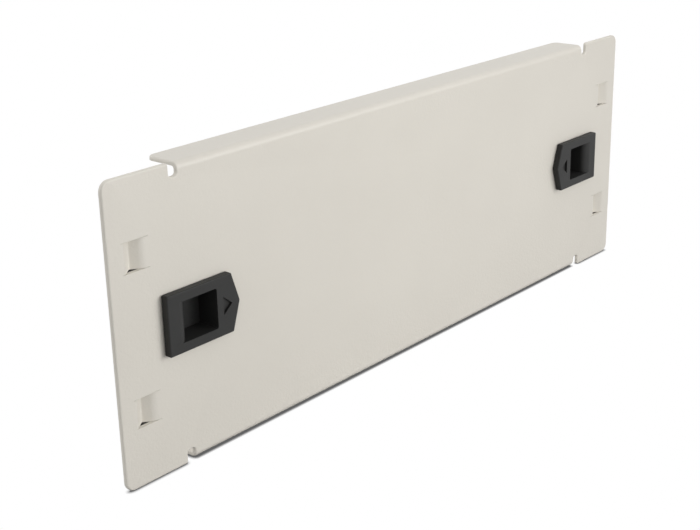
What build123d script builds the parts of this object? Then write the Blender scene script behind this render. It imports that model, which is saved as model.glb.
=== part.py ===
from build123d import *
from math import cos, sin, tau
import os

# Blanking panel for a 10-inch rack, two rack units high.
# X runs along the panel, +Y goes back into the rack and +Z is up.
# The origin is the middle of the sheet's rear face, the plane that lies on the rack's rails.

# Rack that the panel closes, measured from the panel's ends
rack_unit = 44.45
height_play = 0.8
hole_column_inset = 8.7375
rail_width = 15.875
rail_thickness = 2.0

# Folded sheet
panel_width = 254.0
panel_depth = 12.2
sheet = 1.2
bend_radius = 0.8
flange_step = 0.35
ear_width = 22.5
ear_corner_radius = 3.0
ear_inner_radius = 0.8
relief_width = 2.8
relief_radius = 1.0
relief_run = 0.6
flange_corner_radius = 2.5
edge_round = 0.55

# Locating lances, cut above and below and pushed back into the rack's square holes
lance_height = 8.5
lance_depth = 2.5
lance_inner_run = 5.2
lance_outer_run = 3.9
lance_land = 0.6
lance_slit = 0.1
lance_bend_radius = 0.6
lance_lead_radius = 2.2

# Sliding latch: its face plate laps over the window in the sheet
latch_travel = 3.6
slide_gap = 0.3
plate_to_rail = 0.7
plate_end_cover = 1.5
plate_side_cover = 1.1
plate_shoulder_cover = 0.5
plate_stand_out = 2.55
plate_corner_radius = 0.5
plate_edge_round = 0.4
arrow_length = 2.9
mark_height = 5.4
mark_length = 3.3
mark_depth = 0.8
mark_to_pocket = 2.4

# Finger pocket in the latch
pocket_length = 11.2
pocket_height = 12.0
pocket_depth = 7.75
pocket_wall = 1.5
pocket_lip_radius = 2.8
pocket_corner_radius = 0.6
well_corner_radius = 1.0
well_rear_chamfer = 0.6
window_corner_radius = 0.8

# Bolt that slides in behind the rail, and the prongs that hold the other end
rail_clearance = 0.2
bolt_height = 10.0
bolt_thickness = 2.8
bolt_base_margin = 1.3
bolt_bevel = 2.0
prong_thickness = 1.2
prong_width = 3.0
prong_overlap = 1.7
prong_lead_in = 0.8

# Folded steel guide behind each latch
guide_sheet = 1.0
guide_bend_radius = 0.5
guide_foot = 4.5
guide_end_margin = 1.1
spring_room = 7.2
seat_tab_height = 9.0
seat_tab_clearance = 0.5

# Return spring and the post inside it
wire_radius = 0.25
coil_clearance = 0.45
spring_turns = 6
turn_steps = 12
wire_flats = 6
post_clearance = 0.35
post_length = 4.5

# Planes and half sizes of the sheet
front_face = -sheet
panel_height = 2 * rack_unit - height_play
half_width = panel_width / 2
half_height = panel_height / 2
ear_inner_edge = half_width - ear_width
channel_half = ear_inner_edge - relief_width
body_half = half_height - flange_step
bend_outer_radius = bend_radius + sheet
flat_half = body_half - bend_outer_radius
relief_floor = flat_half - relief_radius - relief_run
flange_rear = panel_depth - sheet

# Locating lances over the middle hole of each rack unit
hole_row = rack_unit / 2
lance_apex = half_width - hole_column_inset
lance_inner = lance_apex - lance_inner_run
lance_outer = lance_apex + lance_outer_run

# Latch positions along X, from the rail's inner edge towards the panel's centre
rail_edge = half_width - rail_width
plate_outer = rail_edge - plate_to_rail
window_outer = plate_outer - latch_travel - plate_end_cover
well_outer = window_outer - slide_gap
pocket_outer = well_outer - pocket_wall
pocket_inner = pocket_outer - pocket_length
well_inner = pocket_inner - pocket_wall
window_inner = well_inner - latch_travel - slide_gap
plate_shoulder = window_inner - plate_shoulder_cover
arrow_tip = plate_shoulder - arrow_length
mark_base = pocket_inner - mark_to_pocket
mark_tip = mark_base - mark_length

# Latch heights, and its depths from the front of the plate to the back of the well
well_half = pocket_height / 2 + pocket_wall
window_half = well_half + slide_gap
plate_half = window_half + plate_side_cover
plate_front = front_face - plate_stand_out
plate_back = front_face - slide_gap
pocket_floor = plate_front + pocket_depth
well_back = pocket_floor + pocket_wall

# Bolt and prongs behind the sheet
bolt_front = rail_thickness + rail_clearance
bolt_back = bolt_front + bolt_thickness
bolt_tip = rail_edge + latch_travel - slide_gap
bolt_base_end = rail_edge - bolt_base_margin
prong_back = slide_gap + prong_thickness
prong_end = window_inner - prong_overlap
prong_half = well_half - slide_gap

# Guide round the well and the spring
guide_back_inner = max(well_back, bolt_back) + slide_gap
guide_back = guide_back_inner + guide_sheet
guide_half = window_half + guide_sheet
guide_bend_outer = guide_bend_radius + guide_sheet
guide_outer_end = window_outer - guide_end_margin
spring_seat = window_inner - spring_room
guide_start = spring_seat + guide_bend_radius

# Spring between the guide's tab and the well
spring_axis = guide_back_inner / 2
spring_end = well_inner - slide_gap
coil_radius = spring_axis - wire_radius - coil_clearance
coil_run = spring_end - spring_seat - 2 * wire_radius
post_radius = coil_radius - wire_radius - post_clearance

# Length that separates a point on a plane from one beside it
tolerance = 0.01

# The folded sheet: a shallow channel with flat ears beyond its ends
with BuildPart() as panel:
    with BuildSketch(Plane.YZ) as channel:
        with Locations((front_face + panel_depth / 2, 0)):
            Rectangle(panel_depth, 2 * body_half)
        fillet(channel.vertices().group_by(Axis.X)[0], bend_outer_radius)
        with Locations((flange_rear / 2, 0)):
            Rectangle(flange_rear, 2 * (body_half - sheet), mode=Mode.SUBTRACT)
        inside_corners = channel.vertices().filter_by(lambda v: abs(v.X) < tolerance)
        fillet(inside_corners, bend_radius)
    extrude(amount=channel_half, both=True)

    # Rounded rear corners on both flanges
    with BuildSketch(Plane.XY) as flange_plan:
        with Locations((0, front_face + panel_depth / 2)):
            Rectangle(2 * channel_half, panel_depth)
        fillet(flange_plan.vertices().group_by(Axis.Y)[-1], flange_corner_radius)
    extrude(amount=body_half, both=True, mode=Mode.INTERSECT)

    # Flat face with its ears and bend reliefs
    with BuildSketch(Plane.XZ) as face:
        Rectangle(panel_width, panel_height)
        fillet(face.vertices(), ear_corner_radius)
        for end in (-1, 1):
            with Locations((0, end * half_height)):
                Rectangle(2 * channel_half, 2 * (half_height - flat_half), mode=Mode.SUBTRACT)
            for side in (-1, 1):
                with Locations((side * (channel_half + relief_width / 2), end * half_height)):
                    Rectangle(relief_width, 2 * (half_height - relief_floor), mode=Mode.SUBTRACT)
        floor_corners = face.vertices().filter_by(lambda v: abs(abs(v.Y) - relief_floor) < tolerance)
        fillet(floor_corners, relief_radius)
        ear_tips = face.vertices().filter_by(
            lambda v: abs(abs(v.Y) - half_height) < tolerance
            and abs(abs(v.X) - ear_inner_edge) < tolerance
        )
        fillet(ear_tips, ear_inner_radius)
    extrude(amount=sheet)

    # Soften the coated edge round the front: ears, reliefs and the sides and rear of the flanges
    ear_edges = panel.edges().filter_by(
        lambda e: abs(e.center().Y - front_face) < tolerance
        and abs(e.center().X) > channel_half - tolerance
    )
    fillet(ear_edges, edge_round)

    # Windows that the latches' face plates hide over the whole travel, and the lance openings
    with BuildSketch(Plane.XZ) as openings:
        for side in (-1, 1):
            with Locations((side * (window_inner + window_outer) / 2, 0)):
                RectangleRounded(
                    window_outer - window_inner, 2 * window_half, window_corner_radius
                )
            for row in (-hole_row, hole_row):
                with Locations((side * (lance_inner + lance_outer) / 2, row)):
                    Rectangle(lance_outer - lance_inner, lance_height + 2 * lance_slit)
    extrude(amount=sheet, mode=Mode.SUBTRACT)

    # The lances themselves, each a shallow V joined to the ear at both ends
    for row in (-hole_row, hole_row):
        with BuildSketch(Plane.XY.offset(row)) as lance:
            with BuildLine():
                Polyline(
                    (lance_inner, front_face),
                    (lance_inner + lance_land, front_face),
                    (lance_apex, front_face + lance_depth),
                    (lance_outer - lance_land, front_face),
                    (lance_outer, front_face),
                    (lance_outer, 0),
                    (lance_outer - lance_land, 0),
                    (lance_apex, lance_depth),
                    (lance_inner + lance_land, 0),
                    (lance_inner, 0),
                    close=True,
                )
            make_face()
            ridge = lance.vertices().filter_by(lambda v: abs(v.X - lance_apex) < tolerance)
            fillet(ridge.sort_by(Axis.Y)[-1], lance_bend_radius + sheet / 2)
            fillet(ridge.sort_by(Axis.Y)[0], lance_bend_radius)
            ramp_starts = lance.vertices().filter_by(
                lambda v: lance_inner + tolerance < v.X < lance_outer - tolerance
                and abs(v.Y - front_face) < tolerance
            )
            fillet(ramp_starts.sort_by(Axis.X)[0], lance_lead_radius)
            fillet(ramp_starts.sort_by(Axis.X)[-1], lance_bend_radius + sheet / 2)
            mirror(about=Plane.YZ)
        extrude(amount=lance_height / 2, both=True)

panel.part.label = "panel"

# Moulded slider: arrow-shaped face plate, finger pocket, bolt, prongs and spring post
with BuildPart() as right_latch_slider:
    with BuildSketch(Plane.XZ.offset(-plate_back)) as plate:
        with BuildLine():
            Polyline(
                (arrow_tip, 0),
                (plate_shoulder, plate_half),
                (plate_outer, plate_half),
                (plate_outer, -plate_half),
                (plate_shoulder, -plate_half),
                close=True,
            )
        make_face()
        fillet(plate.vertices(), plate_corner_radius)
    extrude(amount=plate_back - plate_front)
    front_rim = right_latch_slider.faces().sort_by(Axis.Y)[0].edges()
    fillet(front_rim, plate_edge_round)

    # Well behind the plate that passes through the window
    with BuildSketch(Plane.XZ.offset(-plate_back)) as well:
        with Locations(((well_inner + well_outer) / 2, 0)):
            RectangleRounded(well_outer - well_inner, 2 * well_half, well_corner_radius)
    extrude(amount=plate_back - well_back)
    rear_rim = right_latch_slider.faces().sort_by(Axis.Y)[-1].edges()
    chamfer(rear_rim, well_rear_chamfer)

    # Bolt: a base behind the ear and a tip, bevelled at the rear, that reaches behind the rail
    with BuildSketch(Plane.XY) as bolt:
        with BuildLine():
            Polyline(
                (well_outer - pocket_wall / 2, slide_gap),
                (bolt_base_end, slide_gap),
                (bolt_base_end, bolt_front),
                (bolt_tip, bolt_front),
                (bolt_tip, bolt_back - bolt_bevel),
                (bolt_tip - bolt_bevel, bolt_back),
                (well_outer - pocket_wall / 2, bolt_back),
                close=True,
            )
        make_face()
    extrude(amount=bolt_height / 2, both=True)

    # Two prongs with a lead-in that catch behind the window's inner edge
    with BuildSketch(Plane.XY) as prong:
        with BuildLine():
            Polyline(
                (well_inner + pocket_wall / 2, slide_gap),
                (prong_end, slide_gap),
                (prong_end, prong_back - prong_lead_in),
                (prong_end + prong_lead_in, prong_back),
                (well_inner + pocket_wall / 2, prong_back),
                close=True,
            )
        make_face()
    extrude(amount=prong_half, both=True)
    with BuildSketch(Plane.YZ.offset(well_inner)) as prong_gap:
        with Locations((prong_back / 2, 0)):
            Rectangle(prong_back, 2 * (prong_half - prong_width))
    extrude(amount=prong_end - well_inner, mode=Mode.SUBTRACT)

    # Post that keeps the spring in line
    with BuildSketch(Plane.YZ.offset(well_inner)) as post:
        with Locations((spring_axis, 0)):
            Circle(post_radius)
    extrude(amount=-post_length)

    # Finger pocket: upright inner wall to push on, rounded lip at the outer end
    with BuildSketch(Plane.XY) as pocket:
        with BuildLine():
            Line((pocket_inner, plate_front), (pocket_inner, pocket_floor))
            Line((pocket_inner, pocket_floor), (pocket_outer, pocket_floor))
            Line((pocket_outer, pocket_floor), (pocket_outer, plate_front + pocket_lip_radius))
            RadiusArc(
                (pocket_outer, plate_front + pocket_lip_radius),
                (pocket_outer + pocket_lip_radius, plate_front),
                -pocket_lip_radius,
            )
            Line((pocket_outer + pocket_lip_radius, plate_front), (pocket_inner, plate_front))
        make_face()
    extrude(amount=pocket_height / 2, both=True, mode=Mode.SUBTRACT)
    push_wall_corners = right_latch_slider.edges().filter_by(
        lambda e: abs(e.center().X - pocket_inner) < tolerance
        and abs(abs(e.center().Z) - pocket_height / 2) < tolerance
    )
    fillet(push_wall_corners, pocket_corner_radius)

    # Engraved triangle that shows which way to slide
    with BuildSketch(Plane.XZ.offset(-plate_front)) as mark:
        with BuildLine():
            Polyline(
                (mark_tip, 0),
                (mark_base, mark_height / 2),
                (mark_base, -mark_height / 2),
                close=True,
            )
        make_face()
    extrude(amount=-mark_depth, mode=Mode.SUBTRACT)

right_latch_slider.part.label = "right_latch_slider"

with BuildPart() as left_latch_slider:
    mirror(right_latch_slider.part, about=Plane.YZ)

left_latch_slider.part.label = "left_latch_slider"

# Guide behind the sheet: a folded hat section with its feet welded to the rear face
with BuildPart() as right_latch_guide:
    with BuildSketch(Plane.YZ.offset(guide_start)) as hat:
        with Locations((guide_back / 2, 0)):
            Rectangle(guide_back, 2 * guide_half)
        fillet(hat.vertices().group_by(Axis.X)[-1], guide_bend_outer)
        with Locations((guide_sheet / 2, 0)):
            Rectangle(guide_sheet, 2 * (guide_half + guide_foot))
        with Locations((guide_back_inner / 2, 0)):
            Rectangle(guide_back_inner, 2 * window_half, mode=Mode.SUBTRACT)
        hollow_corners = hat.vertices().filter_by(
            lambda v: abs(v.X - guide_back_inner) < tolerance
        )
        fillet(hollow_corners, guide_bend_radius)
        foot_bends = hat.vertices().filter_by(
            lambda v: abs(v.X - guide_sheet) < tolerance and abs(abs(v.Y) - guide_half) < tolerance
        )
        fillet(foot_bends, guide_bend_radius)
    extrude(amount=guide_outer_end - guide_start)

    # Tab folded forward from the back wall, the fixed seat of the spring
    with BuildSketch(Plane.XY) as seat:
        with BuildLine():
            Polyline(
                (spring_seat + guide_bend_outer, guide_back_inner),
                (spring_seat, guide_back_inner),
                (spring_seat, seat_tab_clearance),
                (spring_seat - guide_sheet, seat_tab_clearance),
                (spring_seat - guide_sheet, guide_back),
                (spring_seat + guide_bend_outer, guide_back),
                close=True,
            )
        make_face()
        fold_outside = seat.vertices().filter_by(
            lambda v: v.X < spring_seat - tolerance and v.Y > guide_back - tolerance
        )
        fillet(fold_outside, guide_bend_outer)
        fold_inside = seat.vertices().filter_by(
            lambda v: abs(v.X - spring_seat) < tolerance
            and abs(v.Y - guide_back_inner) < tolerance
        )
        fillet(fold_inside, guide_bend_radius)
    extrude(amount=seat_tab_height / 2, both=True)

right_latch_guide.part.label = "right_latch_guide"

with BuildPart() as left_latch_guide:
    mirror(right_latch_guide.part, about=Plane.YZ)

left_latch_guide.part.label = "left_latch_guide"

# Return spring: a coil of round wire, drawn as short straight runs with flats along them
coil_steps = spring_turns * turn_steps
with BuildPart() as right_latch_spring:
    with BuildLine() as coil:
        Polyline(
            *[
                (
                    spring_seat + wire_radius + coil_run * step / coil_steps,
                    spring_axis + coil_radius * cos(tau * step / turn_steps),
                    coil_radius * sin(tau * step / turn_steps),
                )
                for step in range(coil_steps + 1)
            ]
        )
    with BuildSketch(Plane(coil.line @ 0, z_dir=coil.line % 0)) as wire:
        RegularPolygon(wire_radius, wire_flats)
    sweep(path=coil.line, transition=Transition.RIGHT)

right_latch_spring.part.label = "right_latch_spring"

with BuildPart() as left_latch_spring:
    add(right_latch_spring.part.moved(Location((-spring_end - spring_seat, 0, 0))))

left_latch_spring.part.label = "left_latch_spring"

os.makedirs("parts", exist_ok=True)
export_step(panel.part, "parts/panel.step")
for latch_piece in (
    right_latch_slider,
    left_latch_slider,
    right_latch_guide,
    left_latch_guide,
    right_latch_spring,
    left_latch_spring,
):
    export_step(latch_piece.part, f"parts/{latch_piece.part.label}.step")
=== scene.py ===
# %% [markdown]
# # A blanking panel for a rack
#
# A blanking panel closes the part of a rack where no device is fitted. This one is a shallow
# tray of powder-coated steel. Its two flat ears lie on the rack's rails, and a black plastic
# latch slides at each end and hooks in behind the rail.
#
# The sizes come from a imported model, so this script measures nothing by eye. It takes each
# part where the model has it, gives the folded steel and the moulded plastic the soft edges
# that real ones have, winds the two springs, and makes the finishes, the light and the camera.

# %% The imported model
import bpy
from math import atan2, cos, pi, radians, sin, tan
from mathutils import Matrix, Vector


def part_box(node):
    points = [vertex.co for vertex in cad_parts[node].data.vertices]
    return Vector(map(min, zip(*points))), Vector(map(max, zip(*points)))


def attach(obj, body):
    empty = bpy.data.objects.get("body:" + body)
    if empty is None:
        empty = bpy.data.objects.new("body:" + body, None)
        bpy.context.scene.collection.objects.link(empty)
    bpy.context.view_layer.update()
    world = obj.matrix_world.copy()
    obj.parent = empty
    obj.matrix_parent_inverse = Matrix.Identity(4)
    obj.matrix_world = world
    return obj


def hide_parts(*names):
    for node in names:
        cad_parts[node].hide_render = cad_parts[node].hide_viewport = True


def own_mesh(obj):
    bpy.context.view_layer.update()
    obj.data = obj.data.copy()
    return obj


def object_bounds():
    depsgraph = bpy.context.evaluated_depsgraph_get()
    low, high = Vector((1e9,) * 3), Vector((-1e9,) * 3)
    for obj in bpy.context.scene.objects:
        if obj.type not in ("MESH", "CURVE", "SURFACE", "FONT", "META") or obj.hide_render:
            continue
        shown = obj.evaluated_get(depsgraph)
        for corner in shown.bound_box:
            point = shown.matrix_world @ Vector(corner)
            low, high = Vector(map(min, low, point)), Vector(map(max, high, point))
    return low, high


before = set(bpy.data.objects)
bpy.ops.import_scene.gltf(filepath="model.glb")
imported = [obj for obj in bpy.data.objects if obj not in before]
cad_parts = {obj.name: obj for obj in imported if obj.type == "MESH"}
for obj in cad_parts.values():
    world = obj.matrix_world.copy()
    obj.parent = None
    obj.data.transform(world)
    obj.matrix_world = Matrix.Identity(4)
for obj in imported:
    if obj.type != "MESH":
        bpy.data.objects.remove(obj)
model_low, model_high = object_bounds()
print("model from", tuple(model_low), "to", tuple(model_high))
print("nodes:", sorted(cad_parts))

# %% [markdown]
# ## Two habits that keep operators predictable
#
# An edit-mode operator works on everything that is selected, and a loaded model arrives
# selected. So every step starts with nothing selected, and then picks one object. Blender
# counts in metres, while steel and plastic parts are drawn in millimetres, so one name for a
# millimetre keeps the numbers readable.

# %% Helpers for units and selection
MM = 0.001
SIDES = {"left": -1, "right": 1}


def pick(piece):
    """Makes one object the only selected and active one."""
    bpy.ops.object.select_all(action="DESELECT")
    piece.select_set(True)
    bpy.context.view_layer.objects.active = piece


def edit_all(piece):
    """Opens an object in edit mode with its whole mesh selected."""
    pick(piece)
    bpy.ops.object.mode_set(mode="EDIT")
    bpy.ops.mesh.select_all(action="SELECT")


def leave_edit():
    """Goes back to object mode, which modifiers and joins need."""
    bpy.ops.object.mode_set(mode="OBJECT")


def apply_modifiers(piece):
    """Turns every modifier of a piece into real geometry."""
    pick(piece)
    for modifier in list(piece.modifiers):
        bpy.ops.object.modifier_apply(modifier=modifier.name)


def boolean(piece, operation, tool):
    """Cuts or welds one object with another, and removes the tool."""
    step = piece.modifiers.new(operation, "BOOLEAN")
    step.operation = operation
    step.solver = "EXACT"
    step.object = tool
    apply_modifiers(piece)
    bpy.data.objects.remove(tool)


bpy.ops.object.select_all(action="DESELECT")
print("one millimetre is", MM, "in Blender units")

# %% [markdown]
# ## Nodes for a finish
#
# A finish is a small network: a pattern is made in three dimensions, turned into a height, a
# colour or a roughness, and handed to the Principled shader. The pattern reads Object
# coordinates, so it is fixed to the part in metres and its scale can be given as a real size.

# %% A small kit for building finishes
def new_finish(name):
    """An empty material, with its node tree and its Principled shader."""
    finish = bpy.data.materials.new(name)
    finish.use_nodes = True
    tree = finish.node_tree
    shader = tree.nodes["Principled BSDF"]
    return finish, tree, shader


def grain(tree, size, detail=2.0, roughness=0.5):
    """A noise pattern whose lumps are about size metres across. Returns its value, 0 to 1."""
    place = tree.nodes.new("ShaderNodeTexCoord")
    noise = tree.nodes.new("ShaderNodeTexNoise")
    noise.inputs["Scale"].default_value = 1 / size
    noise.inputs["Detail"].default_value = detail
    noise.inputs["Roughness"].default_value = roughness
    tree.links.new(place.outputs["Object"], noise.inputs["Vector"])
    return noise.outputs["Fac"]


def spread(tree, value, low, high, start=0.3, end=0.7):
    """Stretches a pattern's middle range to run from low to high."""
    ranges = tree.nodes.new("ShaderNodeMapRange")
    ranges.inputs["From Min"].default_value = start
    ranges.inputs["From Max"].default_value = end
    ranges.inputs["To Min"].default_value = low
    ranges.inputs["To Max"].default_value = high
    tree.links.new(value, ranges.inputs["Value"])
    return ranges.outputs["Result"]


def tint(tree, value, dark, light):
    """Blends between two colours by a pattern."""
    mix = tree.nodes.new("ShaderNodeMix")
    mix.data_type = "RGBA"
    mix.inputs["A"].default_value = (*dark, 1)
    mix.inputs["B"].default_value = (*light, 1)
    tree.links.new(value, mix.inputs["Factor"])
    return mix.outputs["Result"]


def relief(tree, value, height, under=None):
    """Bumps a surface by a pattern whose lumps stand height metres proud."""
    bump = tree.nodes.new("ShaderNodeBump")
    bump.inputs["Distance"].default_value = height
    tree.links.new(value, bump.inputs["Height"])
    if under is not None:
        tree.links.new(under, bump.inputs["Normal"])
    return bump.outputs["Normal"]


# %% [markdown]
# ## Powder coat
#
# Powder coat is sprayed on dry and melted in an oven. It levels less than wet paint, so it
# keeps a fine orange-peel skin: low lumps under a millimetre wide, with a finer grain of
# unmelted powder on top. The lumps are only some hundredths of a millimetre high, so they
# hardly show face on and sparkle where the surface curves away from the light.

# %% The panel's warm light-grey coat
def coated_steel():
    """Warm light grey, with orange peel and a finer powder grain."""
    finish, tree, shader = new_finish("warm_grey_powder_coat")
    peel = grain(tree, 0.75 * MM, detail=1.0)
    powder = grain(tree, 0.16 * MM, detail=3.0, roughness=0.65)
    cloud = grain(tree, 45 * MM, detail=2.0)
    even = tint(tree, spread(tree, cloud, 0, 1), (0.677, 0.644, 0.580), (0.701, 0.668, 0.602))
    tree.links.new(even, shader.inputs["Base Color"])
    tree.links.new(spread(tree, powder, 0.36, 0.52), shader.inputs["Roughness"])
    skin = relief(tree, peel, 0.055 * MM)
    skin = relief(tree, powder, 0.012 * MM, under=skin)
    tree.links.new(skin, shader.inputs["Normal"])
    return finish


# %% [markdown]
# ## Moulded black plastic
#
# The latch comes out of a mould whose walls are spark-eroded, which leaves a fine even grain
# on the plastic and keeps it from looking wet. Its black is a very dark warm grey.

# %% The latch's plastic
def latch_plastic():
    """Near black, with the fine grain of the mould."""
    finish, tree, shader = new_finish("black_moulded_plastic")
    spark = grain(tree, 0.14 * MM, detail=2.0, roughness=0.6)
    flow = grain(tree, 9 * MM, detail=2.0)
    even = tint(tree, spread(tree, flow, 0, 1), (0.015, 0.015, 0.0144), (0.019, 0.019, 0.0183))
    tree.links.new(even, shader.inputs["Base Color"])
    tree.links.new(spread(tree, spark, 0.44, 0.60), shader.inputs["Roughness"])
    tree.links.new(relief(tree, spark, 0.012 * MM), shader.inputs["Normal"])
    shader.inputs["Specular IOR Level"].default_value = 0.27
    return finish


# %% [markdown]
# ## Spring wire
#
# Spring wire is drawn through dies, which leaves it bright and nearly smooth.

# %% The springs' steel
def spring_wire():
    """Bright metal with a faint grain."""
    finish, tree, shader = new_finish("bright_spring_wire")
    drawn = grain(tree, 0.08 * MM, detail=2.0)
    tree.links.new(
        tint(tree, spread(tree, drawn, 0, 1), (0.50, 0.50, 0.51), (0.60, 0.60, 0.60)),
        shader.inputs["Base Color"],
    )
    shader.inputs["Metallic"].default_value = 1.0
    tree.links.new(spread(tree, drawn, 0.24, 0.36), shader.inputs["Roughness"])
    tree.links.new(relief(tree, drawn, 0.002 * MM), shader.inputs["Normal"])
    return finish


coat = coated_steel()
plastic = latch_plastic()
wire = spring_wire()
for finish in (coat, plastic, wire):
    print(finish.name, "has", len(finish.node_tree.nodes), "nodes")


# %% [markdown]
# ## Soft edges
#
# No real edge is sharp. Powder coat rounds the cut edges of steel, and a mould can't hold a
# knife edge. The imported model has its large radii, but its small edges are sharp, and a sharp
# edge catches no line of light. So each rigid part is copied, the copy's loose triangles are
# joined and its flat faces made whole, and a Bevel modifier rounds the edges that are left.
# The copy then stands for the part, which keeps its place in the model.

# %% A softened copy of a part
EDGE_RADIUS = 0.12 * MM


def whole_faces():
    """In edit mode, joins points that coincide and faces that lie in one plane."""
    bpy.ops.mesh.remove_doubles(threshold=0.002 * MM)
    bpy.ops.mesh.dissolve_limited(angle_limit=radians(0.5))


def copied(node, name):
    """A loose copy of a part of the model, with its triangles joined into whole faces."""
    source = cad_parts[node]
    piece = source.copy()
    piece.data = source.data.copy()
    for mark in list(piece.keys()):
        del piece[mark]
    piece.name = name
    piece.data.name = name
    piece.parent = None
    bpy.context.collection.objects.link(piece)
    edit_all(piece)
    bpy.ops.mesh.customdata_custom_splitnormals_clear()
    whole_faces()
    leave_edit()
    return piece


def softened(piece, node, finish, body):
    """Rounds the sharp edges of a copy, dresses it and lets it stand for the part."""
    bevel = piece.modifiers.new("Soft edges", "BEVEL")
    bevel.width = EDGE_RADIUS
    bevel.segments = 2
    bevel.limit_method = "ANGLE"
    bevel.angle_limit = radians(38)
    bevel.harden_normals = True
    apply_modifiers(piece)
    piece.data.materials.clear()
    piece.data.materials.append(finish)
    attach(piece, body)
    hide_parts(node)
    print(piece.name, "has", len(piece.data.polygons), "faces")


for side in SIDES:
    slider = copied(f"{side}_latch_slider", f"{side}_slider")
    softened(slider, f"{side}_latch_slider", plastic, f"{side}_latch")


# %% [markdown]
# ## Guides and their weld marks
#
# Each latch runs in a folded steel guide whose two feet are spot-welded to the sheet. A welding
# tip presses a shallow round dimple into the foot, and the powder coat doesn't hide it. A ball
# squashed to a lens cuts such a dimple. A whole ball of the same curve would be so large that it
# also bit into the bridge of the guide.

# %% Two welded guides
FOOT_REAR = 1.0 * MM
MARK_DEPTH = 0.12 * MM
MARK_INSET = 2.1 * MM
LENS_RADIUS, LENS_HALF = 1.75 * MM, 0.3 * MM


def weld_mark(piece, x, z):
    """Presses one dimple into the rear of a foot."""
    bpy.ops.object.select_all(action="DESELECT")
    bpy.ops.mesh.primitive_uv_sphere_add(
        segments=48, ring_count=40, radius=LENS_RADIUS, rotation=(pi / 2, 0, 0)
    )
    lens = bpy.context.active_object
    bpy.ops.mesh.customdata_custom_splitnormals_clear()
    bpy.ops.object.shade_smooth()
    lens.scale = (1, 1, LENS_HALF / LENS_RADIUS)
    lens.location = (x, FOOT_REAR + LENS_HALF - MARK_DEPTH, z)
    bpy.ops.object.transform_apply(location=True, rotation=True, scale=True)
    boolean(piece, "DIFFERENCE", lens)


for side in SIDES:
    guide = copied(f"{side}_latch_guide", f"{side}_guide")
    low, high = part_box(f"{side}_latch_guide")
    for share in (0.25, 0.75):
        for z in (low.z + MARK_INSET, high.z - MARK_INSET):
            weld_mark(guide, low.x + share * (high.x - low.x), z)
    softened(guide, f"{side}_latch_guide", coat, "panel_body")
    print("four weld marks,", MARK_DEPTH / MM, "mm deep")

# %% [markdown]
# ## Lances
#
# A lance is a strip of the ear, cut free above and below and pressed back by a punch. The
# punch stretches the steel, so the strip leaves the ear in a long soft curve on its inner side
# and more steeply on its outer side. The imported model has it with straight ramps. Here each
# strip is drawn again: one upright edge is extruded along the pressed profile, and a Solidify
# modifier gives it the thickness of the sheet. A Boolean takes the straight strip out of the
# ear and a second one welds the curved strip in, so the ear stays one piece of steel.

# %% The pressed profile, from the inner end to the outer end
SHEET = -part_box("panel")[0].y
APEX = 118.2625 * MM
INNER_RUN, OUTER_RUN = 5.2 * MM, 3.9 * MM
PRESSED = 2.5 * MM
INNER_START, OUTER_START = 2.2 * MM, 0.75 * MM
INNER_RADIUS, RIDGE_RADIUS, OUTER_RADIUS = 4.0 * MM, 0.6 * MM, 2.0 * MM
LANCE_HALF = 4.25 * MM
ROW = 22.225 * MM
OVERLAP = 0.4 * MM
CUTTER_DEPTH, CUTTER_PLAY = 10 * MM, 0.1 * MM


def bend(corner, radius, turn_in, turn_out, steps=8):
    """Points of an arc that rounds a corner. Turns are the slopes before and after it."""
    half = abs(turn_out - turn_in) / 2
    reach = radius * tan(half)
    first = Vector(corner) - reach * Vector((cos(turn_in), sin(turn_in)))
    centre_turn = turn_in + (pi / 2 if turn_out > turn_in else -pi / 2)
    centre = first + radius * Vector((cos(centre_turn), sin(centre_turn)))
    points = []
    for step in range(steps + 1):
        slope = turn_in + (turn_out - turn_in) * step / steps
        back = slope - (pi / 2 if turn_out > turn_in else -pi / 2)
        points.append(centre + radius * Vector((cos(back), sin(back))))
    return points


def pressed_profile():
    """Run outwards from the inner end, and depth behind the ear's front, point by point."""
    inner_corner = (INNER_START, 0)
    ridge = (INNER_RUN, PRESSED)
    outer_corner = (INNER_RUN + OUTER_RUN - OUTER_START, 0)
    rise = atan2(PRESSED, ridge[0] - inner_corner[0])
    fall = -atan2(PRESSED, outer_corner[0] - ridge[0])
    points = [Vector((-OVERLAP, 0))]
    points += bend(inner_corner, INNER_RADIUS, 0, rise, steps=14)
    points += bend(ridge, RIDGE_RADIUS, rise, fall)
    points += bend(outer_corner, OUTER_RADIUS, fall, 0)
    points.append(Vector((INNER_RUN + OUTER_RUN + OVERLAP, 0)))
    return points


def lance(sign, row):
    """One curved strip of the ear."""
    bpy.ops.object.select_all(action="DESELECT")
    bpy.ops.mesh.primitive_plane_add(size=2 * LANCE_HALF, rotation=(pi / 2, 0, 0))
    strip = bpy.context.active_object
    bpy.ops.object.transform_apply(rotation=True)
    edit_all(strip)
    bpy.ops.mesh.merge(type="COLLAPSE")
    points = pressed_profile()
    start = Vector((sign * (APEX - INNER_RUN + points[0].x), -SHEET, row - LANCE_HALF))
    bpy.ops.transform.translate(value=start)
    bpy.ops.mesh.extrude_region_move(TRANSFORM_OT_translate={"value": (0, 0, 2 * LANCE_HALF)})
    bpy.ops.mesh.select_all(action="SELECT")
    for here, there in zip(points, points[1:]):
        step = Vector((sign * (there.x - here.x), there.y - here.y, 0))
        bpy.ops.mesh.extrude_region_move(TRANSFORM_OT_translate={"value": step})
    bpy.ops.mesh.select_all(action="SELECT")
    bpy.ops.mesh.normals_make_consistent(inside=False)
    bpy.ops.mesh.faces_shade_smooth()
    leave_edit()
    if strip.data.polygons[0].normal.y > 0:
        edit_all(strip)
        bpy.ops.mesh.flip_normals()
        leave_edit()
    thick = strip.modifiers.new("Sheet", "SOLIDIFY")
    thick.thickness = SHEET
    thick.offset = -1
    thick.use_even_offset = True
    apply_modifiers(strip)
    return strip


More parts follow.
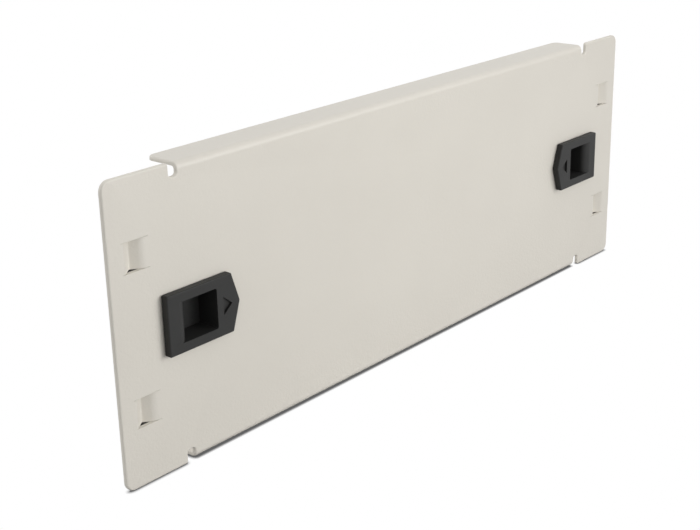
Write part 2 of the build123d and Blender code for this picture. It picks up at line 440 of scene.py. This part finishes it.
panel = copied("panel", "folded_sheet")
for sign in SIDES.values():
    for row in (ROW, -ROW):
        middle = sign * (APEX + (OUTER_RUN - INNER_RUN) / 2)
        bpy.ops.mesh.primitive_cube_add(size=1, location=(middle, PRESSED / 2, row))
        cutter = bpy.context.active_object
        cutter.scale = (INNER_RUN + OUTER_RUN, CUTTER_DEPTH, 2 * LANCE_HALF + CUTTER_PLAY)
        boolean(panel, "DIFFERENCE", cutter)
        boolean(panel, "UNION", lance(sign, row))
edit_all(panel)
whole_faces()
leave_edit()
softened(panel, "panel", coat, "panel_body")
loose_edges = [edge for edge in panel.data.edges if edge.is_loose]
print("loose edges in the sheet:", len(loose_edges))

# %% [markdown]
# ## Return springs
#
# A small compression spring pushes each latch outwards. Its end turns lie close together,
# so that it stands square on its seat. One ring of wire is carried round the axis by a Screw
# modifier: a close turn, the open turns, and a close turn again. Each stretch starts on the
# ring where the last one ended, so the three join into one wire.

# %% Two springs, wound to the length and width that the model gives them
WIRE = 0.5 * MM
CLOSE_PITCH = 1.08 * WIRE
OPEN_TURNS = 4
STEPS_PER_TURN = 28
WIRE_SIDES = 12


def stretch_of_coil(start, axis_y, coil_radius, run, turns):
    """One stretch of the coil, from a ring of wire at x = start."""
    bpy.ops.object.select_all(action="DESELECT")
    bpy.ops.mesh.primitive_circle_add(
        vertices=WIRE_SIDES, radius=WIRE / 2, location=(0, coil_radius, 0)
    )
    ring = bpy.context.active_object
    bpy.ops.object.transform_apply(location=True)
    ring.location = (start, axis_y, 0)
    coil = ring.modifiers.new("Coil", "SCREW")
    coil.axis = "X"
    coil.angle = 2 * pi
    coil.screw_offset = run / turns
    coil.iterations = turns
    coil.steps = STEPS_PER_TURN
    coil.render_steps = STEPS_PER_TURN
    apply_modifiers(ring)
    pick(ring)
    bpy.ops.object.transform_apply(location=True, rotation=True, scale=True)
    return ring


def spring(side):
    """One spring, wound and closed at both ends."""
    low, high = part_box(f"{side}_latch_spring")
    axis_y = (low.y + high.y) / 2
    coil_radius = (high.z - low.z) / 2 - WIRE / 2
    open_run = (high.x - low.x) - WIRE - 2 * CLOSE_PITCH
    stretches = []
    start = low.x + WIRE / 2
    for run, turns in ((CLOSE_PITCH, 1), (open_run, OPEN_TURNS), (CLOSE_PITCH, 1)):
        stretches.append(stretch_of_coil(start, axis_y, coil_radius, run, turns))
        start += run
    pick(stretches[0])
    for stretch in stretches[1:]:
        stretch.select_set(True)
    bpy.ops.object.join()
    piece = bpy.context.active_object
    piece.name = f"{side}_spring"
    edit_all(piece)
    bpy.ops.mesh.remove_doubles(threshold=0.01 * MM)
    bpy.ops.mesh.select_all(action="DESELECT")
    bpy.ops.mesh.select_non_manifold()
    bpy.ops.mesh.fill_holes(sides=0)
    bpy.ops.mesh.select_all(action="SELECT")
    bpy.ops.mesh.normals_make_consistent(inside=False)
    bpy.ops.mesh.faces_shade_smooth()
    leave_edit()
    piece.data.materials.append(wire)
    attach(piece, "panel_body")
    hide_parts(f"{side}_latch_spring")
    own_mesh(piece)
    print(piece.name, "from", round(low.x / MM, 2), "to", round(high.x / MM, 2), "mm")


for side in SIDES:
    spring(side)

# %% [markdown]
# ## Floor
#
# The panel stands on its ears on a white table. For the camera the table is white wherever it
# is open, and a painted contact shadow darkens it only where the panel comes close to it, the
# thin line of contact that makes a thing look as if it stands. Ambient Occlusion measures just
# that: how much of the space above a point is open within a few millimetres.

# %% A white table with a painted contact shadow
CONTACT_REACH = 1.5 * MM


def seen_rays(tree):
    """One for the rays that show a surface: to the camera, in a reflection or through glass."""
    rays = tree.nodes.new("ShaderNodeLightPath")
    seen = rays.outputs["Is Camera Ray"]
    for ray in ("Is Glossy Ray", "Is Transmission Ray"):
        either = tree.nodes.new("ShaderNodeMath")
        either.operation = "MAXIMUM"
        tree.links.new(seen, either.inputs[0])
        tree.links.new(rays.outputs[ray], either.inputs[1])
        seen = either.outputs["Value"]
    return seen


def table_finish():
    """White where it is seen, with a painted contact shadow near the panel, and grey where it
    only throws light back.
    """
    finish = bpy.data.materials.new("white_table")
    finish.use_nodes = True
    tree = finish.node_tree
    tree.nodes.clear()
    out = tree.nodes.new("ShaderNodeOutputMaterial")
    board = tree.nodes.new("ShaderNodeBsdfDiffuse")
    board.inputs["Color"].default_value = (0.25, 0.25, 0.25, 1)
    openness = tree.nodes.new("ShaderNodeAmbientOcclusion")
    openness.inputs["Distance"].default_value = CONTACT_REACH
    openness.samples = 16
    glow = tree.nodes.new("ShaderNodeEmission")
    # The painted contact shadow: the table's glow dims where little of the space above it is
    # open.
    painted_contact_shade = spread(tree, openness.outputs["AO"], 0.12, 1.0, start=0.42, end=0.90)
    tree.links.new(painted_contact_shade, glow.inputs["Strength"])
    seen = tree.nodes.new("ShaderNodeMixShader")
    tree.links.new(seen_rays(tree), seen.inputs["Fac"])
    tree.links.new(board.outputs["BSDF"], seen.inputs[1])
    tree.links.new(glow.outputs["Emission"], seen.inputs[2])
    tree.links.new(seen.outputs["Shader"], out.inputs["Surface"])
    return finish


bpy.ops.object.select_all(action="DESELECT")
bpy.ops.mesh.primitive_plane_add(size=6, location=(0, 0, model_low.z))
table = bpy.context.active_object
table.name = "table"
table.data.materials.append(table_finish())
print("table top at", round(model_low.z / MM, 2), "mm")

# %% [markdown]
# ## Painted shade behind the lances
#
# The cuts below the lances are open, and the white table would shine through them. Behind the
# real panel these cuts look into shade, so a small sheet behind each opening shows that shade as
# a painted shade, a flat dark colour. Only the camera sees the sheets, and only from the front.

# %% A sheet of painted shade behind each lance
SHADE_SHEET_SIZE = 12 * MM
SHADE_SHEET_BEHIND, SHADE_SHEET_BELOW = 3.9 * MM, 4 * MM
SHADE_SHEET_MIDDLE = {"left": -115.5 * MM, "right": 123.0 * MM}


def painted_shade_finish():
    """Painted shade: dark for the camera from the front, and clear for everything else."""
    finish = bpy.data.materials.new("painted_shade_behind_lance")
    finish.use_nodes = True
    tree = finish.node_tree
    tree.nodes.clear()
    out = tree.nodes.new("ShaderNodeOutputMaterial")
    dark = tree.nodes.new("ShaderNodeEmission")
    # The painted shade's colour: a flat dark warm grey, given as emission.
    dark.inputs["Color"].default_value = (0.05, 0.047, 0.043, 1)
    clear = tree.nodes.new("ShaderNodeBsdfTransparent")
    rays = tree.nodes.new("ShaderNodeLightPath")
    facing = tree.nodes.new("ShaderNodeNewGeometry")
    shows = tree.nodes.new("ShaderNodeMath")
    shows.operation = "SUBTRACT"
    shows.use_clamp = True
    tree.links.new(rays.outputs["Is Camera Ray"], shows.inputs[0])
    tree.links.new(facing.outputs["Backfacing"], shows.inputs[1])
    mix = tree.nodes.new("ShaderNodeMixShader")
    tree.links.new(shows.outputs["Value"], mix.inputs["Fac"])
    tree.links.new(clear.outputs["BSDF"], mix.inputs[1])
    tree.links.new(dark.outputs["Emission"], mix.inputs[2])
    tree.links.new(mix.outputs["Shader"], out.inputs["Surface"])
    return finish


painted_shade_material = painted_shade_finish()
# One sheet of painted shade behind each of the four lances.
for side, middle in SHADE_SHEET_MIDDLE.items():
    for level, row in {"upper": ROW, "lower": -ROW}.items():
        bpy.ops.object.select_all(action="DESELECT")
        bpy.ops.mesh.primitive_plane_add(size=SHADE_SHEET_SIZE, rotation=(pi / 2, 0, 0))
        shade_sheet = bpy.context.active_object
        shade_sheet.name = f"{level}_{side}_card"
        shade_sheet.location = (middle, SHADE_SHEET_BEHIND, row - SHADE_SHEET_BELOW)
        bpy.ops.object.transform_apply(location=True, rotation=True, scale=True)
        shade_sheet.data.materials.append(painted_shade_material)
        print(shade_sheet.name, "faces", tuple(round(c) for c in shade_sheet.data.polygons[0].normal))

# %% [markdown]
# ## Light
#
# A real room is not equally bright all round. Here a bright wall stands on the left and another
# one behind, which light the cut edges of the steel. Rays that show a thing, or its mirror
# image, see plain white in every direction. A large lamp at the front right gives the
# latches their soft shadows, and a small near one lifts the middle of the panel. The lances
# look darker than the ear because their ramps turn away from both.

# %% Lamp and world
def softbox(name, place, size, watts):
    """A square lamp that faces the middle of the panel."""
    lamp_data = bpy.data.lights.new(name, "AREA")
    lamp_data.shape = "SQUARE"
    lamp_data.size = size
    lamp_data.energy = watts
    lamp = bpy.data.objects.new(name, lamp_data)
    bpy.context.collection.objects.link(lamp)
    lamp.location = place
    lamp.rotation_euler = (-lamp.location).to_track_quat("-Z", "Y").to_euler()
    print(name, "gives", watts, "watts from", round(lamp.location.length, 2), "m")


softbox("window", (1.02, -1.72, 0.66), 1.2, 20.0)
softbox("near_lamp", (-0.01, -0.33, 0.03), 0.2, 0.42)

world = bpy.data.worlds.new("white_room")
bpy.context.scene.world = world
world.use_nodes = True
sky = world.node_tree
LEFT_WALL, REAR_WALL, CEILING = 0.90, 1.22, 0.45
towards = sky.nodes.new("ShaderNodeSeparateXYZ")
direction = sky.nodes.new("ShaderNodeTexCoord")
sky.links.new(direction.outputs["Generated"], towards.inputs["Vector"])
left = spread(sky, towards.outputs["X"], LEFT_WALL, 0, start=-1, end=0)
rear = spread(sky, towards.outputs["Y"], 0, REAR_WALL, start=0, end=1)
above = spread(sky, towards.outputs["Z"], 0, CEILING, start=0, end=1)
room = left
for more in (rear, above):
    total = sky.nodes.new("ShaderNodeMath")
    sky.links.new(room, total.inputs[0])
    sky.links.new(more, total.inputs[1])
    room = total.outputs["Value"]
level = spread(sky, seen_rays(sky), 0, 1, start=0, end=1)
sky.links.new(room, level.node.inputs["To Min"])
sky.links.new(level, sky.nodes["Background"].inputs["Strength"])
sky.nodes["Background"].inputs["Color"].default_value = (1, 1, 1, 1)
bpy.context.scene.view_settings.view_transform = "Standard"
print("left wall", LEFT_WALL, "rear wall", REAR_WALL, "ceiling", CEILING)

# %% [markdown]
# ## Camera
#
# The camera looks from the left and a little above, near enough that the far end of the panel
# is clearly smaller. Its place, its turn and its lens were worked out from the corners of the
# panel. A turn about the view line comes first, then the tilt, then the swing to the left.

# %% The camera
SWING, RISE, ROLL = radians(-48.928861), radians(19.919971), radians(-1.251907)
CAMERA_PLACE = (-0.321448, -0.252539, 0.133838)
camera_data = bpy.data.cameras.new("camera")
camera_data.sensor_width = 36
camera_data.lens = 66.8877
camera = bpy.data.objects.new("camera", camera_data)
bpy.context.collection.objects.link(camera)
turn = (
    Matrix.Rotation(SWING, 4, "Z")
    @ Matrix.Rotation(pi / 2 - RISE, 4, "X")
    @ Matrix.Rotation(ROLL, 4, "Z")
)
camera.matrix_world = Matrix.Translation(CAMERA_PLACE) @ turn
bpy.context.scene.camera = camera
print("camera at", tuple(round(c, 3) for c in camera.location))
